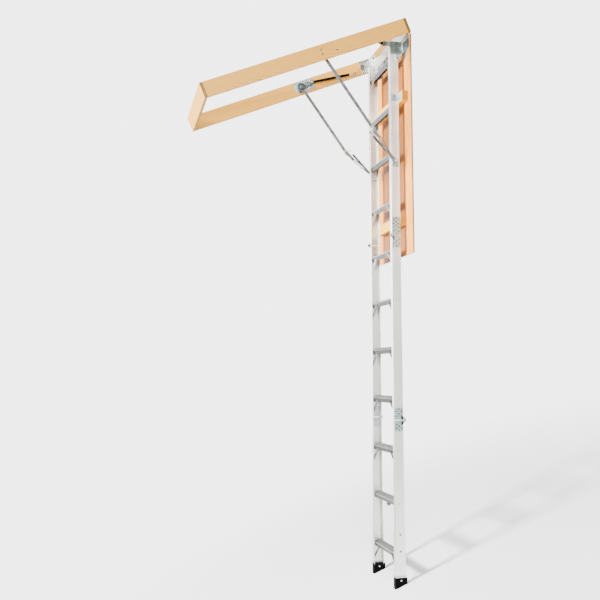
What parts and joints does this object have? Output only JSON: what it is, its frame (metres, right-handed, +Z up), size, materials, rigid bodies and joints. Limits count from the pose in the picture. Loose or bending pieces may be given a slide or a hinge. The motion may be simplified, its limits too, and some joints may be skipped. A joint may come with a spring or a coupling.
{
  "type": "attic ladder",
  "caption": "Folding aluminium attic ladder on a plywood door, in a pine ceiling frame with arms, gas struts and adjustable feet.",
  "frame": {"origin": "centre of the outer face of the board that the door hinges under", "axes": "+X out of that board, away from the opening; +Y across the opening to the ladder's left side; +Z up"},
  "size_m": [1.3852, 0.641, 3.1305],
  "materials": {
    "pine": "planed, unvarnished, with small knots",
    "plywood": "smooth birch-faced plywood, unvarnished",
    "batten_pine": "planed pale pine",
    "aluminium": "mill-finish extrusion",
    "zinc_plated_steel": "bright zinc plating with a faint blue tint",
    "steel": "plain zinc-plated bar",
    "black_paint": "satin black paint",
    "black_rubber": "moulded, matt"
  },
  "bodies": {
    "frame": {"frame_side_board_right": "pine", "frame_side_board_left": "pine", "frame_header_board": "pine", "frame_latch_board": "pine", "hinge_leaf_header": "zinc_plated_steel", "corner_bracket_right": "zinc_plated_steel", "corner_bracket_left": "zinc_plated_steel", "arm_bracket_right": "zinc_plated_steel", "arm_bracket_left": "zinc_plated_steel"},
    "door": {"door_panel": "plywood", "door_batten_upper": "batten_pine", "door_batten_lower": "batten_pine", "hinge_leaf_door": "zinc_plated_steel", "batten_bracket_right": "zinc_plated_steel", "hinge_plate_right": "zinc_plated_steel", "upper_rail_right": "aluminium", "rail_clip_right": "zinc_plated_steel", "fold_upper_plate_top_right": "zinc_plated_steel", "batten_bracket_left": "zinc_plated_steel", "hinge_plate_left": "zinc_plated_steel", "upper_rail_left": "aluminium", "rail_clip_left": "zinc_plated_steel", "fold_upper_plate_top_left": "zinc_plated_steel", "tread_01": "aluminium", "tread_02": "aluminium", "tread_03": "aluminium", "tread_04": "aluminium"},
    "middle_section": {"middle_rail_right": "aluminium", "fold_upper_plate_low_right": "zinc_plated_steel", "fold_lower_plate_top_right": "zinc_plated_steel", "middle_rail_left": "aluminium", "fold_upper_plate_low_left": "zinc_plated_steel", "fold_lower_plate_top_left": "zinc_plated_steel", "tread_05": "aluminium", "tread_06": "aluminium", "tread_07": "aluminium", "tread_08": "aluminium"},
    "bottom_section": {"bottom_rail_right": "aluminium", "fold_lower_plate_low_right": "zinc_plated_steel", "bottom_rail_left": "aluminium", "fold_lower_plate_low_left": "zinc_plated_steel", "tread_09": "aluminium", "tread_10": "aluminium", "tread_11": "aluminium"},
    "ring": {"tread_ring": "steel"},
    "leg_right": {"leg_right": "aluminium", "shoe_right": "black_rubber"},
    "upper_arm_right": {"upper_arm_right": "steel"},
    "arm_sleeve_right": {"arm_sleeve_right": "zinc_plated_steel"},
    "lower_link_right": {"lower_link_right": "steel"},
    "strut_rod_right": {"strut_rod_right": "steel"},
    "strut_cylinder_right": {"strut_cylinder_right": "black_paint"},
    "leg_left": {"leg_left": "aluminium", "shoe_left": "black_rubber"},
    "upper_arm_left": {"upper_arm_left": "steel"},
    "arm_sleeve_left": {"arm_sleeve_left": "zinc_plated_steel"},
    "lower_link_left": {"lower_link_left": "steel"},
    "strut_rod_left": {"strut_rod_left": "steel"},
    "strut_cylinder_left": {"strut_cylinder_left": "black_paint"}
  },
  "joints": [
    {"name": "door_hinge", "type": "hinge", "parent": "frame", "child": "door", "pos_m": [-0.0094, 0, -0.0505], "axis": [0, 1, 0], "range_deg": [0, 62]},
    {"name": "fold_upper", "type": "hinge", "parent": "door", "child": "middle_section", "pos_m": [-0.57717, 0, -1.15386], "axis": [0, 1, 0], "range_deg": [0, 180]},
    {"name": "fold_lower", "type": "hinge", "parent": "middle_section", "child": "bottom_section", "pos_m": [-0.94458, 0, -2.21096], "axis": [0, -1, 0], "range_deg": [0, 180]},
    {"name": "leg_slide_right", "type": "slide", "parent": "bottom_section", "child": "leg_right", "axis": [0.3859, 0, 0.9225], "range_m": [0, 0.03]},
    {"name": "leg_slide_left", "type": "slide", "parent": "bottom_section", "child": "leg_left", "axis": [0.3859, 0, 0.9225], "range_m": [0, 0.03]},
    {"name": "ring_swing", "type": "hinge", "parent": "bottom_section", "child": "ring", "pos_m": [-1.17019, 0, -2.66178], "axis": [1, 0, 0], "range_deg": [-40, 40]},
    {"name": "upper_arm_right", "type": "hinge", "parent": "frame", "child": "upper_arm_right", "pos_m": [-0.575, -0.2685, -0.003], "axis": [0, 1, 0], "range_deg": [0, 97.21]},
    {"name": "arm_sleeve_right", "type": "slide", "parent": "upper_arm_right", "child": "arm_sleeve_right", "axis": [-0.2267, 0, 0.974], "range_m": [0, 0.0826]},
    {"name": "lower_link_right", "type": "hinge", "parent": "door", "child": "lower_link_right", "pos_m": [-0.368, -0.206, -0.7446], "axis": [0, -1, 0], "range_deg": [0, 128.39]},
    {"name": "strut_rod_right", "type": "hinge", "parent": "frame", "child": "strut_rod_right", "pos_m": [-0.172, -0.286, -0.026], "axis": [0, -1, 0], "range_deg": [0, 15.38]},
    {"name": "strut_cylinder_right", "type": "slide", "parent": "strut_rod_right", "child": "strut_cylinder_right", "axis": [-0.994, 0, 0.1097], "range_m": [0, 0.088]},
    {"name": "upper_arm_left", "type": "hinge", "parent": "frame", "child": "upper_arm_left", "pos_m": [-0.575, 0.2685, -0.003], "axis": [0, 1, 0], "range_deg": [0, 97.21]},
    {"name": "arm_sleeve_left", "type": "slide", "parent": "upper_arm_left", "child": "arm_sleeve_left", "axis": [-0.2267, 0, 0.974], "range_m": [0, 0.0826]},
    {"name": "lower_link_left", "type": "hinge", "parent": "door", "child": "lower_link_left", "pos_m": [-0.368, 0.206, -0.7446], "axis": [0, -1, 0], "range_deg": [0, 128.39]},
    {"name": "strut_rod_left", "type": "hinge", "parent": "frame", "child": "strut_rod_left", "pos_m": [-0.172, 0.286, -0.026], "axis": [0, -1, 0], "range_deg": [0, 15.38]},
    {"name": "strut_cylinder_left", "type": "slide", "parent": "strut_rod_left", "child": "strut_cylinder_left", "axis": [-0.994, 0, 0.1097], "range_m": [0, 0.088]}
  ],
  "couplings": [
    {"joint": "fold_lower", "follows": "fold_upper", "ratio": 1},
    {"joint": "upper_arm_right", "follows": "door_hinge", "ratio": 1.5671},
    {"joint": "arm_sleeve_right", "follows": "door_hinge", "m_per_rad": 0.0762},
    {"joint": "lower_link_right", "follows": "door_hinge", "ratio": 2.07},
    {"joint": "strut_rod_right", "follows": "door_hinge", "ratio": 0.2472},
    {"joint": "strut_cylinder_right", "follows": "door_hinge", "m_per_rad": 0.08125},
    {"joint": "upper_arm_left", "follows": "door_hinge", "ratio": 1.5671},
    {"joint": "arm_sleeve_left", "follows": "door_hinge", "m_per_rad": 0.0762},
    {"joint": "lower_link_left", "follows": "door_hinge", "ratio": 2.07},
    {"joint": "strut_rod_left", "follows": "door_hinge", "ratio": 0.2472},
    {"joint": "strut_cylinder_left", "follows": "door_hinge", "m_per_rad": 0.08125}
  ]
}
